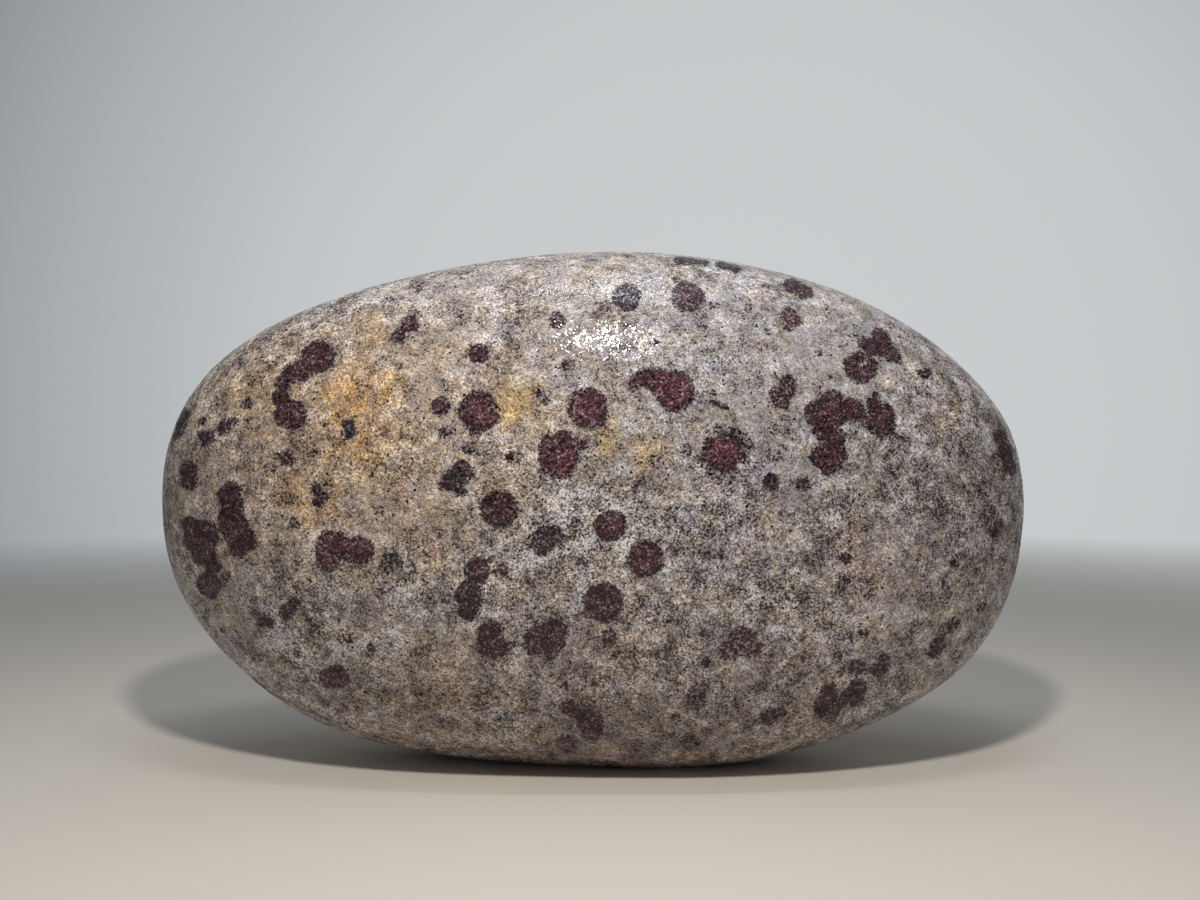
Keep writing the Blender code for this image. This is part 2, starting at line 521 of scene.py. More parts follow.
# %% Tints and coloured stains
OCHRE = (1.18, 0.99, 0.54)
AMBER = (1.12, 0.99, 0.76)
WARM = (1.10, 1.0, 0.86)
RUST = (0.98, 0.80, 0.66)
PINK = (1.08, 0.95, 0.90)
CREAM_AND_PAINTED_LIGHT = (1.30, 1.28, 1.24)
PEARL = (1.18, 1.20, 1.25)
COOL = (0.96, 1.02, 1.09)
DUSK_AND_PAINTED_SHADE = (0.74, 0.74, 0.78)
UMBER_AND_PAINTED_SHADE = (0.80, 0.72, 0.68)
OLIVE = (0.98, 0.99, 0.84)

COLOURED_STAINS = [
    (AMBER, 0.9, (258, 393, 32)),
    (AMBER, 0.5, (305, 485, 45)),
    (AMBER, 0.5, (350, 400, 60)),
    (OCHRE, 0.7, (345, 402, 24)),
    (OCHRE, 0.5, (345, 388, 14)),
    (OCHRE, 0.6, (370, 330, 16)),
    (OCHRE, 0.7, (392, 390, 14)),
    (OCHRE, 0.6, (358, 440, 22)),
    (AMBER, 0.9, (315, 505, 18)),
    (OCHRE, 1.0, (507, 401, 22)),
    (AMBER, 0.6, (530, 410, 30)),
    (OCHRE, 0.9, (609, 431, 14)),
    (OCHRE, 0.7, (645, 444, 18)),
    (AMBER, 0.6, (635, 463, 14)),
    (OCHRE, 0.5, (806, 447, 9)),
    (RUST, 0.9, (433, 561, 15)),
    (RUST, 0.6, (423, 545, 12)),
    (RUST, 0.45, (455, 675, 28)),
    (RUST, 0.4, (600, 642, 18)),
    (PINK, 0.9, (853, 526, 14)),
    (PINK, 0.9, (939, 419, 16)),
    (PINK, 0.7, (954, 407, 10)),
    (PINK, 0.8, (850, 542, 14)),
    (PINK, 0.4, (868, 575, 40)),
    (UMBER_AND_PAINTED_SHADE, 0.8, (956, 485, 10)),
]
print("coloured stains:", len(COLOURED_STAINS))

# %% Pale spots
PALE_SPOTS = [
    (CREAM_AND_PAINTED_LIGHT, 0.5, (297, 661, 14)),
    (CREAM_AND_PAINTED_LIGHT, 0.7, (290, 345, 8)),
    (CREAM_AND_PAINTED_LIGHT, 0.7, (289, 365, 8)),
    (CREAM_AND_PAINTED_LIGHT, 0.6, (354, 336, 6)),
    (CREAM_AND_PAINTED_LIGHT, 0.6, (363, 346, 6)),
    (CREAM_AND_PAINTED_LIGHT, 0.9, (465, 398, 6)),
    (CREAM_AND_PAINTED_LIGHT, 0.8, (643, 395, 7)),
    (CREAM_AND_PAINTED_LIGHT, 0.8, (654, 422, 6)),
    (PEARL, 1.0, (355, 523, 10)),
    (PEARL, 1.0, (455, 438, 7)),
    (CREAM_AND_PAINTED_LIGHT, 0.9, (405, 482, 6)),
    (CREAM_AND_PAINTED_LIGHT, 0.7, (469, 535, 6)),
    (CREAM_AND_PAINTED_LIGHT, 0.9, (885, 376, 10)),
    (CREAM_AND_PAINTED_LIGHT, 0.8, (893, 406, 8)),
    (OLIVE, 0.8, (862, 442, 8)),
    (CREAM_AND_PAINTED_LIGHT, 0.7, (908, 438, 6)),
    (CREAM_AND_PAINTED_LIGHT, 0.7, (968, 509, 7)),
    (CREAM_AND_PAINTED_LIGHT, 0.7, (824, 307, 7)),
    (CREAM_AND_PAINTED_LIGHT, 0.7, (775, 331, 6)),
    (CREAM_AND_PAINTED_LIGHT, 0.7, (298, 638, 7)),
    (CREAM_AND_PAINTED_LIGHT, 0.6, (275, 607, 6)),
    (CREAM_AND_PAINTED_LIGHT, 0.6, (217, 603, 6)),
    (CREAM_AND_PAINTED_LIGHT, 0.8, (517, 705, 8)),
    (CREAM_AND_PAINTED_LIGHT, 0.6, (528, 715, 5)),
    (PEARL, 0.8, (593, 690, 9)),
    (CREAM_AND_PAINTED_LIGHT, 0.6, (491, 692, 7)),
    (CREAM_AND_PAINTED_LIGHT, 0.6, (460, 626, 7)),
    (PEARL, 0.7, (562, 733, 7)),
    (CREAM_AND_PAINTED_LIGHT, 0.7, (653, 652, 6)),
    (CREAM_AND_PAINTED_LIGHT, 0.6, (627, 614, 6)),
    (CREAM_AND_PAINTED_LIGHT, 0.6, (773, 638, 5)),
    (CREAM_AND_PAINTED_LIGHT, 0.6, (954, 604, 6)),
    (CREAM_AND_PAINTED_LIGHT, 0.7, (868, 615, 7)),
    (CREAM_AND_PAINTED_LIGHT, 0.5, (842, 644, 4)),
    (CREAM_AND_PAINTED_LIGHT, 0.6, (876, 654, 6)),
    (CREAM_AND_PAINTED_LIGHT, 0.6, (893, 679, 6)),
]
print("pale spots:", len(PALE_SPOTS))

# %% Warmer, cooler, lighter and darker patches
# Many of these patches are partly painted light and shade. Besides the rock's own tone, they lighten and
# darken broad places to follow how the light falls on the stone.
TONE_LIGHT_AND_SHADE_PATCHES = [
    (WARM, 1.0, (290, 440, 150)),
    (WARM, 0.7, (430, 430, 110)),
    (COOL, 0.9, (800, 360, 110)),
    (COOL, 0.6, (690, 320, 70)),
    (DUSK_AND_PAINTED_SHADE, 0.45, (740, 540, 60)),
    # Painted shade at the right end of the stone.
    (DUSK_AND_PAINTED_SHADE, 0.40, (975, 530, 50)),
    (DUSK_AND_PAINTED_SHADE, 0.30, (735, 555, 26)),
    (DUSK_AND_PAINTED_SHADE, 0.20, (250, 600, 60)),
    # Painted shade along the bottom, where the stone meets the ground.
    (DUSK_AND_PAINTED_SHADE, 0.40, (500, 738, 100)),
    (DUSK_AND_PAINTED_SHADE, 0.35, (700, 738, 90)),
    # Painted shade at the right end of the stone.
    (DUSK_AND_PAINTED_SHADE, 0.40, (968, 545, 46)),
    (DUSK_AND_PAINTED_SHADE, 0.30, (806, 480, 34)),
    (DUSK_AND_PAINTED_SHADE, 0.25, (730, 505, 40)),
    (DUSK_AND_PAINTED_SHADE, 0.25, (905, 520, 40)),
    (CREAM_AND_PAINTED_LIGHT, 0.40, (732, 362, 20)),
    (CREAM_AND_PAINTED_LIGHT, 0.35, (460, 582, 22)),
    (CREAM_AND_PAINTED_LIGHT, 0.35, (688, 662, 20)),
    (CREAM_AND_PAINTED_LIGHT, 0.40, (645, 450, 20)),
    (CREAM_AND_PAINTED_LIGHT, 0.60, (611, 440, 13)),
    (CREAM_AND_PAINTED_LIGHT, 0.55, (700, 350, 22)),
    (CREAM_AND_PAINTED_LIGHT, 0.50, (868, 580, 18)),
    (PINK, 0.50, (868, 580, 22)),
    (CREAM_AND_PAINTED_LIGHT, 0.30, (852, 530, 14)),
    (CREAM_AND_PAINTED_LIGHT, 0.40, (300, 500, 20)),
    (CREAM_AND_PAINTED_LIGHT, 0.40, (700, 622, 22)),
    (CREAM_AND_PAINTED_LIGHT, 0.50, (300, 650, 13)),
    (DUSK_AND_PAINTED_SHADE, 0.80, (245, 642, 18)),
    (DUSK_AND_PAINTED_SHADE, 0.35, (507, 401, 12)),
    (DUSK_AND_PAINTED_SHADE, 0.30, (320, 378, 18)),
    (DUSK_AND_PAINTED_SHADE, 0.25, (280, 440, 22)),
    (RUST, 0.30, (602, 652, 30)),
    (WARM, 0.80, (430, 700, 50)),
    (DUSK_AND_PAINTED_SHADE, 0.35, (280, 632, 28)),
    (DUSK_AND_PAINTED_SHADE, 0.60, (330, 680, 30)),
    (DUSK_AND_PAINTED_SHADE, 0.40, (775, 625, 26)),
    (DUSK_AND_PAINTED_SHADE, 0.30, (526, 552, 30)),
    # Painted shade at the right end of the stone.
    (DUSK_AND_PAINTED_SHADE, 0.50, (1004, 515, 36)),
    (DUSK_AND_PAINTED_SHADE, 0.25, (318, 585, 26)),
    (CREAM_AND_PAINTED_LIGHT, 0.60, (370, 512, 46)),
    (CREAM_AND_PAINTED_LIGHT, 0.40, (240, 442, 24)),
    (CREAM_AND_PAINTED_LIGHT, 0.50, (462, 582, 16)),
    (CREAM_AND_PAINTED_LIGHT, 0.60, (512, 478, 30)),
    (CREAM_AND_PAINTED_LIGHT, 0.80, (600, 448, 16)),
    (CREAM_AND_PAINTED_LIGHT, 0.40, (508, 615, 40)),
    (CREAM_AND_PAINTED_LIGHT, 0.60, (546, 590, 24)),
    (CREAM_AND_PAINTED_LIGHT, 0.40, (822, 665, 22)),
    (CREAM_AND_PAINTED_LIGHT, 0.35, (685, 600, 26)),
    (CREAM_AND_PAINTED_LIGHT, 0.40, (690, 668, 24)),
    (PEARL, 0.40, (740, 368, 24)),
    # Painted shade along the bottom, where the stone meets the ground.
    (UMBER_AND_PAINTED_SHADE, 0.7, (560, 745, 115)),
    (UMBER_AND_PAINTED_SHADE, 0.6, (760, 730, 90)),
]
print("patches of shade:", len(TONE_LIGHT_AND_SHADE_PATCHES))

# %% Stains on the hidden sides
HIDDEN_STAINS = 60
HIDDEN_TINTS = (OCHRE, AMBER, RUST, PINK, CREAM_AND_PAINTED_LIGHT, CREAM_AND_PAINTED_LIGHT, PEARL, DUSK_AND_PAINTED_SHADE, UMBER_AND_PAINTED_SHADE, OLIVE)
HIDDEN_STAIN_MM = (1.2, 8.0)
HIDDEN_STAIN_STRENGTH = (0.4, 0.9)

# The spots read off the stone hold stains and also painted light and shade. Those on the hidden sides are
# random tints of the rock.
readings = COLOURED_STAINS + PALE_SPOTS + TONE_LIGHT_AND_SHADE_PATCHES
stains_and_shade = [(tint, strength, spot_on_stone(*disc)) for tint, strength, disc in readings]
for _ in range(HIDDEN_STAINS):
    tint = dice.choice(HIDDEN_TINTS)
    size = dice.uniform(*HIDDEN_STAIN_MM) * MM
    strength = dice.uniform(*HIDDEN_STAIN_STRENGTH)
    stains_and_shade.append((tint, strength, (dice.choice(hidden).co.copy(), size, None)))
print("stains:", len(stains_and_shade))

# %% [markdown]
# ## Calm patches
#
# The grain isn't equally lively everywhere. In calm patches the grains are nearly of one shade, and between
# them dark and pale grains mix. Noise alone could vary the grain, and it does so here too, but only placed
# patches are calm where the real stone is. They are kept like stains, as broad soft spots, each with its
# strength.

# %% Calm patches
CALM = [
    (0.32, (420, 440, 120)),
    (0.28, (300, 400, 90)),
    (0.30, (230, 500, 80)),
    (0.20, (520, 400, 90)),
    (0.45, (800, 340, 130)),
    (0.25, (900, 420, 70)),
    (0.25, (900, 610, 90)),
    (0.25, (230, 600, 80)),
    (0.20, (440, 700, 110)),
    (0.20, (720, 700, 100)),
    (0.40, (600, 310, 120)),
    (0.35, (460, 310, 90)),
    (0.35, (350, 430, 70)),
]
HIDDEN_CALM = 14
HIDDEN_CALM_MM = (8.0, 20.0)
HIDDEN_CALM_STRENGTH = (0.15, 0.4)

calm_patches = [(strength, spot_on_stone(*disc)) for strength, disc in CALM]
for _ in range(HIDDEN_CALM):
    size = dice.uniform(*HIDDEN_CALM_MM) * MM
    strength = dice.uniform(*HIDDEN_CALM_STRENGTH)
    calm_patches.append((strength, (dice.choice(hidden).co.copy(), size, None)))
print("calm patches:", len(calm_patches))

# %% [markdown]
# ## Ragged edges
#
# Grains don't stop along a circle. Before the distance to a blossom is measured, each point of the stone is
# nudged by a smooth random amount, so the circle's edge wanders in and out by a fraction of a millimetre.
# For the stains and the painted light and shade, each point strays by a millimetre or two. Noise in the
# material could do this too, but on the vertices it is worked out once, and it can be measured and printed.
# Blender's vector noise differs from session to session unless it gets a seed.

# %% Points of the stone, nudged
NUDGES_MM = ((2.6, 0.34), (1.0, 0.22))
SPOT_NUDGES_MM = ((7.0, 2.2), (2.5, 1.1))

noise.seed_set(SEED)
points = np.array([vertex.co for vertex in body.verts])
normals = np.array([vertex.normal for vertex in body.verts])


def nudge(place, shifts):
    """The sum of a broad and a fine random shift of this place."""
    shift = Vector()
    for width, reach in shifts:
        shift += reach * MM * noise.noise_vector(place / (width * MM))
    return shift


nudged = points + np.array([nudge(vertex.co, NUDGES_MM) for vertex in body.verts])
straying = points + np.array([nudge(vertex.co, SPOT_NUDGES_MM) for vertex in body.verts])
print("largest nudge, mm:", round(float(np.abs(nudged - points).max() / MM), 2))

# %% [markdown]
# ## Markings as attributes
#
# An attribute is a number or a colour that each vertex carries, and a material can read it. Three of them
# hold the blossoms: how far a vertex is from the nearest blossom's edge (less than zero inside), how dense
# that blossom is, and how red. A colour attribute holds the stains together with painted light and shade,
# and one more number holds the calm. The material could work this out from the discs by itself, but
# hundreds of discs would take thousands of nodes.

# %% Measure the blossoms at every vertex
DEPTH_WEIGHT = 0.35
NO_BLOSSOM_MM = 6.0
GROWTH_MM = 0.10
REDDEST_DEPTH_MM = 1.0
LEAST_REDNESS = 0.15


def distance_from(place, ray, vertices=nudged):
    """Each vertex's distance from a spot. Along the spot's ray, distance counts only in part."""
    away = vertices - np.array(place)
    if ray is not None:
        away -= np.outer(away @ np.array(ray), np.array(ray)) * (1 - DEPTH_WEIGHT)
    return np.linalg.norm(away, axis=1)


edge = np.full(len(points), NO_BLOSSOM_MM)
density_at = np.zeros(len(points))
redness_at = np.zeros(len(points))
for grade, density, discs in blossoms:
    for place, radius, ray in discs:
        distance = (distance_from(place, ray) - radius) / MM - GROWTH_MM
        nearer = distance < edge
        edge[nearer] = distance[nearer]
        density_at[nearer] = density
        redness_at[nearer] = grade
for place, radius, ray in gaps:
    hole = (radius - distance_from(place, ray)) / MM
    edge = np.maximum(edge, hole)
redness_at *= np.clip(-edge / REDDEST_DEPTH_MM, LEAST_REDNESS, 1)
print("share of the stone inside blossoms:", round(float((edge < 0).mean()), 3))

# %% Measure the stains, the painted light and shade, and the calm at every vertex
# How far a spot fades to either side of its edge, as a share of its radius, and how steep the fade is.
SPOT_FADE = 0.55
CALM_FADE = 1.0
FADE_STEEPNESS = 3


def soft_spot(strength, distance, radius, fade):
    """A spot's strength at a distance from its middle: full inside, half at its radius, none far out."""
    return strength / (1 + np.exp((distance / radius - 1) / (fade / FADE_STEEPNESS)))


tint_at = np.ones((len(points), 3))
for tint, strength, (place, radius, ray) in stains_and_shade:
    cover = soft_spot(strength, distance_from(place, ray, straying), radius, SPOT_FADE)
    tint_at *= 1 + cover[:, None] * (np.array(tint) - 1)

calm_at = np.zeros(len(points))
for strength, (place, radius, ray) in calm_patches:
    cover = soft_spot(strength, distance_from(place, ray), radius, CALM_FADE)
    calm_at = np.maximum(calm_at, cover)
print("mean tint:", [round(float(part), 3) for part in tint_at.mean(axis=0)])
print("mean calm:", round(float(calm_at.mean()), 3))

# %% [markdown]
# ## Slight relief
#
# Wax and wear leave the stone smooth but not perfect: it has shallow dimples, and the hard dark grains
# stand a few hundredths of a millimetre proud. The vertices move along their normals by those small
# amounts. Bump in the material could fake that, but real relief also shows in the outline.

# %% Relief
WAVES_MM = ((9.0, 0.10), (3.2, 0.035), (1.4, 0.02))
BLOSSOM_RISE_MM = 0.04
RISE_WIDTH_MM = 0.5


def relief(place):
    """Height of the broad, middle and fine waves at this place, in metres."""
    return sum(height * MM * noise.noise(place / (width * MM)) for width, height in WAVES_MM)


rise = BLOSSOM_RISE_MM * MM * density_at / (1 + np.exp(edge / RISE_WIDTH_MM))
heights = np.array([relief(vertex.co) for vertex in body.verts]) + rise
on_ground = points[:, 2] <= GROUND_GAP
heights[on_ground] = 0
moved = points + normals * heights[:, None]
moved[:, 2] = np.maximum(moved[:, 2], 0)
for vertex, place in zip(body.verts, moved):
    vertex.co = place
print("relief, mm:", round(float(heights.min() / MM), 3), "to", round(float(heights.max() / MM), 3))

# %% [markdown]
# ## The stone as an object
#
# The mesh now becomes an object. It replaces the plain packed stone and moves with the same body.

# %% Make the object
stone_mesh = bpy.data.meshes.new("plum_blossom_stone")
body.to_mesh(stone_mesh)
body.free()
stone_mesh.shade_smooth()
stone = bpy.data.objects.new("plum_blossom_stone", stone_mesh)
bpy.context.scene.collection.objects.link(stone)

layers = (("edge_mm", edge), ("crowding", density_at), ("redness", redness_at), ("calm", calm_at))
for name, values in layers:
    layer = stone_mesh.attributes.new(name, "FLOAT", "POINT")
    layer.data.foreach_set("value", values.astype(np.float32))
tints = stone_mesh.attributes.new("stain_and_shade", "FLOAT_COLOR", "POINT")
tints.data.foreach_set("color", np.c_[tint_at, np.ones(len(points))].astype(np.float32).ravel())

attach(stone, "root")
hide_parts("viewing_stone")
print("new object:", stone.name, "with the attributes", [name for name, _ in layers] + [tints.name])

# %% [markdown]
# ## Building shaders in code
#
# A material is a graph of nodes. A few small helpers keep the graph readable. One makes a node, gives it a
# title and sets or links its inputs. The others do arithmetic on numbers or on vectors, mix two colours,
# turn a number into a colour, and read an attribute of the mesh. The same graph could be wired by hand in
# the Shader Editor, but code is easier to read again and to change.

# %% Helpers for nodes


def feed(tree, socket, value):
    """Links an output socket to this input, or sets the input to a plain value."""
    if isinstance(value, bpy.types.NodeSocket):
        tree.links.new(value, socket)
    else:
        socket.default_value = value


def node(tree, kind, title, inputs=None, **settings):
    """A node with a title. Each input is a plain value, or an output socket to link."""
    made = tree.nodes.new(kind)
    made.label = title
    for name, value in settings.items():
        setattr(made, name, value)
    for name, value in (inputs or {}).items():
        feed(tree, made.inputs[name], value)
    return made


def maths(tree, title, operation, first, second=0.0, third=0.0):
    """The result of one sum on numbers."""
    inputs = {0: first, 1: second, 2: third}
    return node(tree, "ShaderNodeMath", title, inputs, operation=operation).outputs[0]


def vector_maths(tree, title, operation, inputs, output="Vector"):
    """The result of one sum on vectors, which is a vector or, as output "Value", a number."""
    return node(tree, "ShaderNodeVectorMath", title, inputs, operation=operation).outputs[output]


def blend_colours(tree, title, share, first, second, blend_type="MIX"):
    """Two colours mixed, or the first one multiplied by the second."""
    inputs = {"Factor": share, "A": first, "B": second}
    mix = node(tree, "ShaderNodeMix", title, data_type="RGBA", blend_type=blend_type)
    for socket in [socket for socket in mix.inputs if socket.enabled]:
        feed(tree, socket, inputs[socket.name])
    return next(socket for socket in mix.outputs if socket.enabled)


def colour_ramp(tree, title, value, stops):
    """A ramp through (position, red, green, blue) stops."""
    ramp = node(tree, "ShaderNodeValToRGB", title, {"Fac": value})
    stretch = ramp.color_ramp
    while len(stretch.elements) < len(stops):
        stretch.elements.new(1.0)
    for element, (position, *colour) in zip(stretch.elements, stops):
        element.position = position
        element.color = (*colour, 1.0)
    return ramp.outputs["Color"]


def read_attribute(tree, name, output="Fac"):
    """What each vertex carries under this name."""
    return node(tree, "ShaderNodeAttribute", name, attribute_name=name).outputs[output]


# %% [markdown]
# ## Grains
#
# The rock is a tight mosaic of grains a quarter to two thirds of a millimetre wide. Voronoi cells are such
# a mosaic: every cell has its own random colour, whose three channels serve as three dice. The group gives
# one layer of grains of a chosen width, and the material uses it at three widths. A picture of rock would
# stretch over the curved stone and repeat, and cells in space do neither.

# %% Node group: one layer of grains


def grain_layer():
    """A node group that turns places in millimetres into grains: three dice, a domed height and a lie."""
    group = bpy.data.node_groups.new("grain_layer", "ShaderNodeTree")
    group.interface.new_socket("Place", in_out="INPUT", socket_type="NodeSocketVector")
    group.interface.new_socket("Width", in_out="INPUT", socket_type="NodeSocketFloat")
    for name in ("Shade", "Kind", "Wear", "Height"):
        group.interface.new_socket(name, in_out="OUTPUT", socket_type="NodeSocketFloat")
    group.interface.new_socket("Lie", in_out="OUTPUT", socket_type="NodeSocketVector")
    source = node(group, "NodeGroupInput", "input").outputs
    per_mm = maths(group, "cells per millimetre", "DIVIDE", 1.0, source["Width"])
    inputs = {"Vector": source["Place"], "Scale": per_mm}
    cells = node(group, "ShaderNodeTexVoronoi", "grains", inputs).outputs
    shade, kind, wear = node(group, "ShaderNodeSeparateColor", "three dice", {0: cells["Color"]}).outputs
    height = maths(group, "domed grain", "SUBTRACT", 1.0, cells["Distance"])
    results = {"Shade": shade, "Kind": kind, "Wear": wear, "Height": height, "Lie": cells["Color"]}
    node(group, "NodeGroupOutput", "output", results)
    return group


grain_group = grain_layer()
outputs = [item.name for item in grain_group.interface.items_tree if item.in_out == "OUTPUT"]
print("what the grain group puts out:", outputs)

# %% [markdown]
# ## The layers of the waxed rock
#
# The material is built in steps, from the grain up to the gloss. All of them share the same layers: grains
# of three widths, and soft noises of four widths for patches and clouds. They are measured in millimetres,
# so a grain keeps its size wherever it lies on the stone.

# %% Layers of grain and soft noise
FINE_GRAIN_MM = 0.23
DARK_GRAIN_MM = 0.36
COARSE_GRAIN_MM = 0.62
PATCH_MM = 2.2
CLOUD_MM = 5.0
MOOD_MM = 11.0
COLOUR_CLOUD_MM = 3.4
COLOUR_CLOUD_DETAIL = 3.0


def grains(tree, title, place, width):
    """What one layer of grains of this width puts out."""
    inputs = {"Place": place, "Width": width}
    return node(tree, "ShaderNodeGroup", title, inputs, node_tree=grain_group).outputs


def soft_noise(tree, title, place, width, detail=2.0):
    """Smooth noise whose blobs are about this many millimetres wide."""
    inputs = {"Vector": place, "Scale": 1.0 / width, "Detail": detail}
    return node(tree, "ShaderNodeTexNoise", title, inputs).outputs["Fac"]


waxed_rock = bpy.data.materials.new("waxed_rock")
waxed_rock.use_nodes = True
tree = waxed_rock.node_tree
shader = tree.nodes["Principled BSDF"]

metres = node(tree, "ShaderNodeTexCoord", "object coordinates").outputs["Object"]
place_mm = vector_maths(tree, "metres to millimetres", "SCALE", {0: metres, "Scale": 1.0 / MM})
fine = grains(tree, "fine grains", place_mm, FINE_GRAIN_MM)
coarse = grains(tree, "coarse grains", place_mm, COARSE_GRAIN_MM)
dark = grains(tree, "dark grains", place_mm, DARK_GRAIN_MM)
patches = soft_noise(tree, "patches", place_mm, PATCH_MM)
clouds = soft_noise(tree, "clouds", place_mm, CLOUD_MM)
moods = soft_noise(tree, "moods", place_mm, MOOD_MM)
colour_clouds = soft_noise(tree, "clouds of colour", place_mm, COLOUR_CLOUD_MM, COLOUR_CLOUD_DETAIL)
print("nodes after the layers:", len(tree.nodes))

# %% [markdown]
# ## The pale rock
#
# A weighted sum of fine grains, coarse grains and two noises gives each place a shade. How far the shades
# spread is the rock's liveliness, which drifts over the stone and is lower in calm patches. A ramp turns
# the shade into mineral colours, from nearly black mica to cream feldspar. The stains, together with painted
# light and shade in broad patches, multiply that colour, and some grains soak up more of them than others.
# Rare black grains of two widths come last. Noise alone would look like clouds: the cells give the rock its
# hard borders from grain to grain.

# %% Shade of the rock
MOOD_SPREAD = 0.9
LEAST_MOOD = 0.5
# Weights of the fine grains, the coarse grains, the patches and the clouds.
ROCK_WEIGHTS = (0.86, 0.30, 1.20, 1.1)


def weighted_shade(tree, title, layers, weights, contrast):
    """Adds layers around their middles, then spreads the sum: 0.5 is the middle shade."""
    total = 0.0
    for value, weight in zip(layers, weights):
        centred = maths(tree, title + " centred", "SUBTRACT", value, 0.5)
        total = maths(tree, title + " sum", "MULTIPLY_ADD", centred, weight, total)
    return maths(tree, title, "MULTIPLY_ADD", total, contrast, 0.5)


mood = maths(tree, "liveliness", "MULTIPLY_ADD", moods, MOOD_SPREAD, LEAST_MOOD)
lively = maths(tree, "less in calm patches", "SUBTRACT", mood, read_attribute(tree, "calm"))
rock_layers = (fine["Shade"], coarse["Shade"], patches, clouds)
rock_shade = weighted_shade(tree, "rock shade", rock_layers, ROCK_WEIGHTS, lively)
print("nodes after the shade:", len(tree.nodes))

# %% Colour of the rock
ROCK_RAMP = (
    (0.06, 0.028, 0.022, 0.020),
    (0.20, 0.102, 0.083, 0.074),
    (0.34, 0.212, 0.178, 0.161),
    (0.48, 0.315, 0.270, 0.247),
    (0.62, 0.410, 0.362, 0.334),
    (0.78, 0.550, 0.500, 0.474),
    (0.94, 0.820, 0.780, 0.760),
)
TINT_RAMP = (
    (0.28, 0.90, 0.97, 1.12),
    (0.42, 0.98, 0.99, 1.04),
    (0.58, 1.03, 1.00, 0.96),
    (0.72, 1.10, 1.00, 0.88),
)
SOAK_SPREAD = 1.1
LEAST_SOAK = 0.35

rock = colour_ramp(tree, "rock colours", rock_shade, ROCK_RAMP)
warmth = colour_ramp(tree, "cool to warm", colour_clouds, TINT_RAMP)
rock = blend_colours(tree, "cool and warm patches", 1.0, rock, warmth, "MULTIPLY")
# This colour attribute holds the stains, and also painted shade along the bottom and at the right end and
# painted light and shade in broad patches.
stain_and_shade = read_attribute(tree, "stain_and_shade", "Color")
soaked = maths(tree, "some grains soak up more", "MULTIPLY_ADD", coarse["Kind"], SOAK_SPREAD, LEAST_SOAK)
rock = blend_colours(tree, "stained and shaded rock", soaked, rock, stain_and_shade, "MULTIPLY")
print("nodes after the colour:", len(tree.nodes))

# %% Rare black grains
SPECK_RARITY = 0.93
BOLD_SPECK_RARITY = 0.985
NEARLY_BLACK = (0.020, 0.015, 0.014, 1.0)

speck = maths(tree, "rare black grain", "GREATER_THAN", fine["Kind"], SPECK_RARITY)
flecked = maths(tree, "specks where it is lively", "MULTIPLY", speck, lively)
rock = blend_colours(tree, "black specks", flecked, rock, NEARLY_BLACK)
bold = maths(tree, "rarer, wider black grain", "GREATER_THAN", dark["Kind"], BOLD_SPECK_RARITY)
rock = blend_colours(tree, "bold specks", bold, rock, NEARLY_BLACK)
print("nodes after the black grains:", len(tree.nodes))

# %% [markdown]
# ## The dark blossoms
#
# Blossoms have a shade of their own, and two ramps make it wine-red or smoky. Whether a grain is a dark one
# is up to its own die. The chance is nil outside a blossom, rises across its edge and stays below one in a
# sparse blossom, so the edge breaks up grain by grain. The rock between dark grains is dimmed to a lilac
# grey. Plain dark discs would be simpler, but they would look like paint.

# %% Colour of the dark grains
# Weights of the dark grains, the fine grains and the patches.
BLOSSOM_WEIGHTS = (0.35, 0.6, 0.6)
WINE_RAMP = (
    (0.12, 0.008, 0.003, 0.004),
    (0.34, 0.026, 0.008, 0.010),
    (0.52, 0.061, 0.018, 0.022),
    (0.68, 0.128, 0.042, 0.050),
    (0.82, 0.235, 0.118, 0.132),
    (0.96, 0.420, 0.320, 0.335),
)
SMOKE_RAMP = (
    (0.12, 0.004, 0.002, 0.002),
    (0.34, 0.011, 0.006, 0.008),
    (0.52, 0.024, 0.015, 0.019),
    (0.68, 0.050, 0.035, 0.040),
    (0.82, 0.110, 0.085, 0.095),
    (0.96, 0.300, 0.260, 0.270),
)

blossom_layers = (dark["Shade"], fine["Shade"], patches)
blossom_shade = weighted_shade(tree, "blossom shade", blossom_layers, BLOSSOM_WEIGHTS, 1.0)
wine = colour_ramp(tree, "wine colours", blossom_shade, WINE_RAMP)
smoke = colour_ramp(tree, "smoke colours", blossom_shade, SMOKE_RAMP)
blossom = blend_colours(tree, "wine or smoke", read_attribute(tree, "redness"), smoke, wine)
print("nodes after the blossom colours:", len(tree.nodes))

# %% Where the dark grains lie
NO_DARK_GRAINS_MM = 0.32
ALL_DARK_GRAINS_MM = -0.34
DIMMING = 0.8
LILAC_GREY = (0.155, 0.115, 0.122, 1.0)

across_edge = node(
    tree,
    "ShaderNodeMapRange",
    "chance of a dark grain",
    {
        "Value": read_attribute(tree, "edge_mm"),
        "From Min": NO_DARK_GRAINS_MM,
        "From Max": ALL_DARK_GRAINS_MM,
    },
).outputs["Result"]
crowding = read_attribute(tree, "crowding")
chance = maths(tree, "chance in this blossom", "MULTIPLY", across_edge, crowding)
is_dark = maths(tree, "grain is dark", "LESS_THAN", dark["Kind"], chance)
dimmed = maths(tree, "rock between dark grains", "MULTIPLY", chance, DIMMING)
rock = blend_colours(tree, "dimmed rock", dimmed, rock, LILAC_GREY)
feed(tree, shader.inputs["Base Color"], blend_colours(tree, "rock or blossom", is_dark, rock, blossom))
print("nodes after the blossoms:", len(tree.nodes))

# %% [markdown]
# ## Wax on the grains
#
# Wax fills some grains to a shine and leaves others dull, so each grain of the middle width is either shiny
# or dull. Each also lies a little differently: a small random vector tilts its normal. One gloss for the
# whole stone would give a smooth round highlight, and on these grains it breaks into sparkles. A low bump
# adds fine ripples and slightly domed grains.

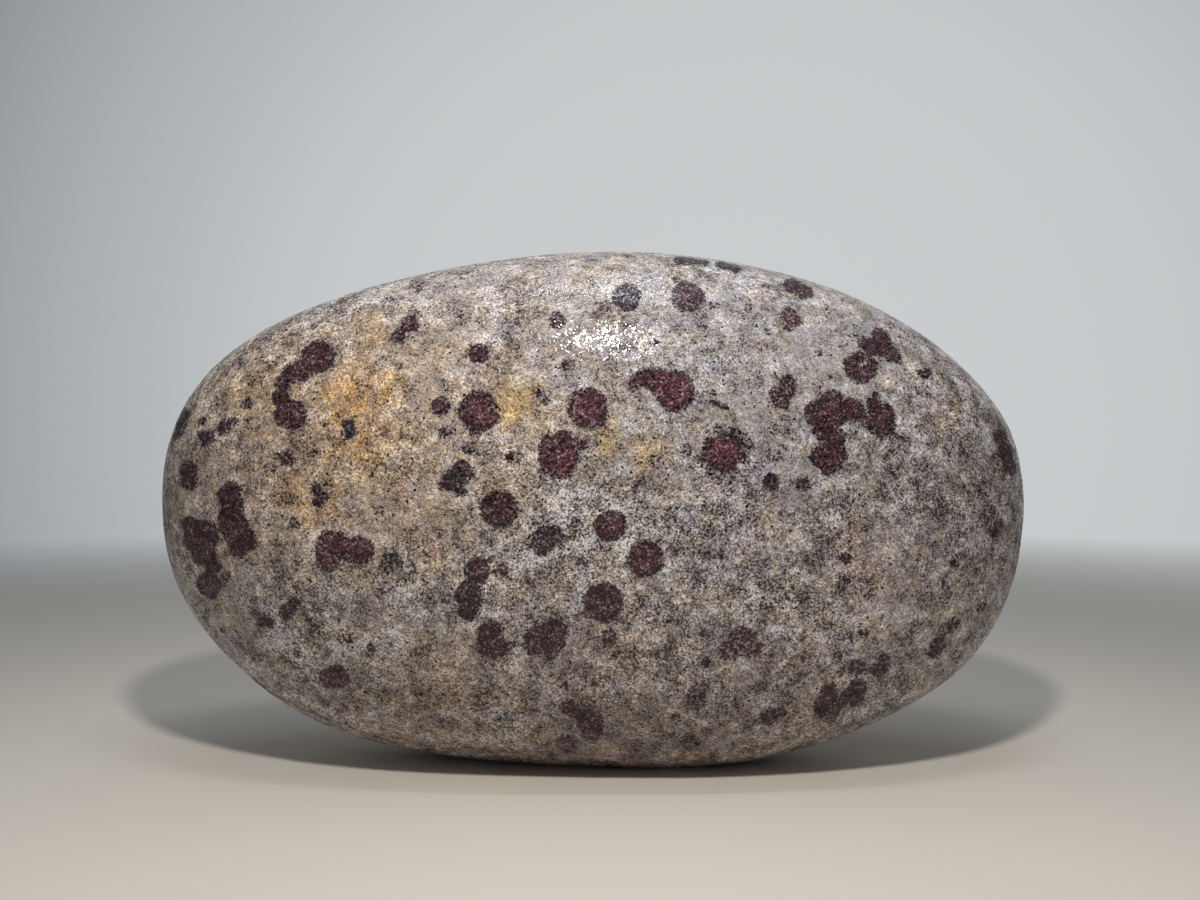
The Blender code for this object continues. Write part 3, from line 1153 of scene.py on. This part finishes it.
# %% Gloss of the grains
SHINY_SHARE = 0.47
SHINY_ROUGHNESS = 0.065
DULL_ROUGHNESS = 0.80
REFRACTIVE_INDEX = 1.45
SPECULAR_LEVEL = 0.5

extra = DULL_ROUGHNESS - SHINY_ROUGHNESS
is_dull = maths(tree, "dull grain", "GREATER_THAN", dark["Wear"], SHINY_SHARE)
roughness = maths(tree, "roughness of a grain", "MULTIPLY_ADD", is_dull, extra, SHINY_ROUGHNESS)
feed(tree, shader.inputs["Roughness"], roughness)
feed(tree, shader.inputs["IOR"], REFRACTIVE_INDEX)
feed(tree, shader.inputs["Specular IOR Level"], SPECULAR_LEVEL)
print("nodes after the gloss:", len(tree.nodes))

# %% Lie of the grains
RIPPLE_MM = 0.45
RIPPLE_DETAIL = 1.0
DOME_SHARE = 0.4
BUMP_HEIGHT = 0.028 * MM
GRAIN_TILT = 0.135
MIDDLE_OF_DICE = (0.5, 0.5, 0.5)

ripple = soft_noise(tree, "ripple", place_mm, RIPPLE_MM, RIPPLE_DETAIL)
height = maths(tree, "grain height", "MULTIPLY_ADD", fine["Height"], DOME_SHARE, ripple)
bump_inputs = {"Strength": 1.0, "Distance": BUMP_HEIGHT, "Height": height}
bumped = node(tree, "ShaderNodeBump", "grain relief", bump_inputs).outputs["Normal"]
any_tilt = vector_maths(tree, "random tilt", "SUBTRACT", {0: dark["Lie"], 1: MIDDLE_OF_DICE})
small_tilt = vector_maths(tree, "small tilt", "SCALE", {0: any_tilt, "Scale": GRAIN_TILT})
tilted = vector_maths(tree, "tilted grains", "ADD", {0: bumped, 1: small_tilt})
feed(tree, shader.inputs["Normal"], vector_maths(tree, "unit length", "NORMALIZE", {0: tilted}))

stone_mesh.materials.clear()
stone_mesh.materials.append(waxed_rock)
print("nodes in the whole material:", len(tree.nodes))

# %% [markdown]
# ## Floor, sky and lamps
#
# A pale floor that fades out into a pale sky shows the stone without a horizon. A curved backdrop could do
# that too, but a fading floor is only one flat disc. One small warm lamp hangs close above the front of the
# stone and makes the highlight on its shoulder. A larger cool lamp from above fills in, and a long thin one
# makes a row of faint glints near the top.

# %% Floor
FLOOR_RADIUS = 1.2
FLOOR_SIDES = 96
FLOOR_SOLID_RADIUS = 0.16
FLOOR_GONE_RADIUS = 0.75
FLOOR_COLOUR = (0.74, 0.68, 0.60, 1.0)
FLOOR_ROUGHNESS = 0.9


def pale_floor():
    """A dull warm grey that turns see-through far from the stone."""
    material = bpy.data.materials.new("pale_floor")
    material.use_nodes = True
    tree = material.node_tree
    shader = tree.nodes["Principled BSDF"]
    feed(tree, shader.inputs["Base Color"], FLOOR_COLOUR)
    feed(tree, shader.inputs["Roughness"], FLOOR_ROUGHNESS)
    place = node(tree, "ShaderNodeTexCoord", "object coordinates").outputs["Object"]
    away = vector_maths(tree, "distance from the stone", "LENGTH", {0: place}, "Value")
    fade = node(
        tree,
        "ShaderNodeMapRange",
        "fade",
        {"Value": away, "From Min": FLOOR_SOLID_RADIUS, "From Max": FLOOR_GONE_RADIUS},
        interpolation_type="SMOOTHSTEP",
    ).outputs["Result"]
    clear = node(tree, "ShaderNodeBsdfTransparent", "clear").outputs[0]
    mix = node(tree, "ShaderNodeMixShader", "floor or clear", {0: fade, 1: shader.outputs[0], 2: clear})
    feed(tree, tree.nodes["Material Output"].inputs["Surface"], mix.outputs[0])
    return material


floor_shape = bmesh.new()
bmesh.ops.create_circle(floor_shape, cap_ends=True, segments=FLOOR_SIDES, radius=FLOOR_RADIUS)
floor_mesh = bpy.data.meshes.new("floor")
floor_shape.to_mesh(floor_mesh)
floor_shape.free()
floor_mesh.materials.append(pale_floor())
floor = bpy.data.objects.new("floor", floor_mesh)
bpy.context.scene.collection.objects.link(floor)
print("floor, m across:", 2 * FLOOR_RADIUS)

# %% Sky
SKY_TURN = Vector((0.14, 0.98, 0.06))
SKY_RAMP = (
    (0.0, 0.075, 0.080, 0.085),
    (0.5, 0.120, 0.127, 0.135),
    (0.80, 0.160, 0.172, 0.184),
    (0.866, 0.36, 0.385, 0.405),
    (0.945, 0.56, 0.580, 0.590),
    (1.0, 0.60, 0.620, 0.630),
)

world = bpy.data.worlds.new("studio")
world.use_nodes = True
sky = world.node_tree
direction = node(sky, "ShaderNodeTexCoord", "direction").outputs["Generated"]
ahead = vector_maths(sky, "towards the bright side", "DOT_PRODUCT", {0: direction, 1: SKY_TURN}, "Value")
brightness = maths(sky, "from 0 to 1", "MULTIPLY_ADD", ahead, 0.5, 0.5)
feed(sky, sky.nodes["Background"].inputs["Color"], colour_ramp(sky, "sky", brightness, SKY_RAMP))
bpy.context.scene.world = world
print("shades of the sky:", len(SKY_RAMP))

# %% Lamps
KEY_SPOT = Vector((0.001, -0.124, 0.181))
KEY_AIM = Vector((0.0, -0.01, 0.045))
KEY_SIZE = (0.017, 0.017)
KEY_POWER = 0.238
KEY_COLOUR = (1.0, 0.97, 0.93)
FILL_SPOT = Vector((-0.01, 0.0, 0.36))
FILL_AIM = Vector((0.0, 0.0, 0.05))
FILL_SIZE = (0.30, 0.30)
FILL_POWER = 0.20
FILL_COLOUR = (0.85, 0.92, 1.0)
GLINT_SPOT = Vector((0.016, -0.078, 0.357))
GLINT_AIM = Vector((0.016, 0.0, 0.05))
GLINT_SIZE = (0.14, 0.012)
GLINT_POWER = 0.14
GLINT_COLOUR = (0.85, 0.93, 1.0)


def lamp(name, spot, aim, size, power, colour):
    """An oval lamp at a place, turned towards another. Its size is its width and its depth."""
    data = bpy.data.lights.new(name, "AREA")
    data.shape = "ELLIPSE"
    data.size, data.size_y = size
    data.energy = power
    data.color = colour
    holder = bpy.data.objects.new(name, data)
    holder.location = spot
    holder.rotation_euler = (aim - spot).to_track_quat("-Z", "Y").to_euler()
    holder.visible_camera = False
    bpy.context.scene.collection.objects.link(holder)
    print(name, "hangs", round((aim - spot).length, 3), "m from where it points")


lamp("key_lamp", KEY_SPOT, KEY_AIM, KEY_SIZE, KEY_POWER, KEY_COLOUR)
lamp("fill_lamp", FILL_SPOT, FILL_AIM, FILL_SIZE, FILL_POWER, FILL_COLOUR)
lamp("glint_lamp", GLINT_SPOT, GLINT_AIM, GLINT_SIZE, GLINT_POWER, GLINT_COLOUR)
bpy.context.scene.view_settings.view_transform = "Standard"
